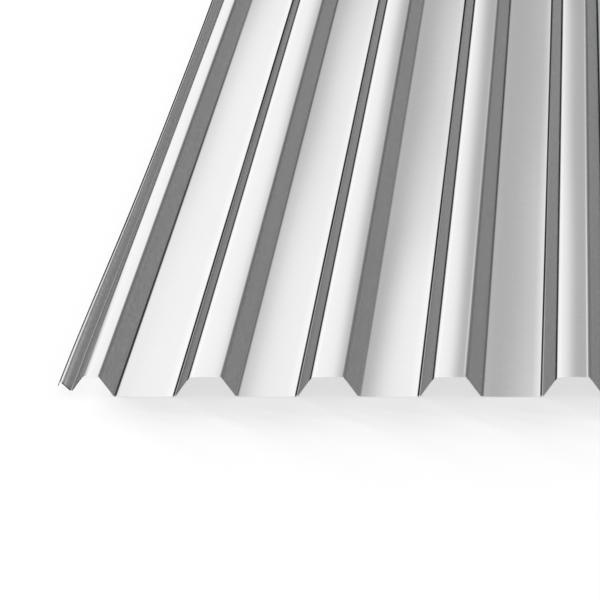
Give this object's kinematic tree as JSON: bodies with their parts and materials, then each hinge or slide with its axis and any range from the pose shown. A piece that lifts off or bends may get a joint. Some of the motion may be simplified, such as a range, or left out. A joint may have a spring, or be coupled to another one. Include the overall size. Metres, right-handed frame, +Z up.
{
  "type": "corrugated metal sheet",
  "caption": "Roll-formed galvanised steel sheet with trapezoidal ribs along its length, a grooved underlap edge and a covering overlap edge, for roofs and cladding.",
  "frame": {"origin": "centre of the bounding box's bottom, on the floor plane that the valleys' undersides rest on", "axes": "X across the ribs with the underlap edge at -X and the overlap edge at +X, Y along the ribs, +Z up out of the crowns"},
  "size_m": [1.0562, 3, 0.0215],
  "materials": {
    "galvanised_steel": "bright zinc-coated rolled sheet with soft, slightly wavy reflections"
  },
  "bodies": {
    "root": {"corrugated_sheet": "galvanised_steel"}
  },
  "joints": []
}
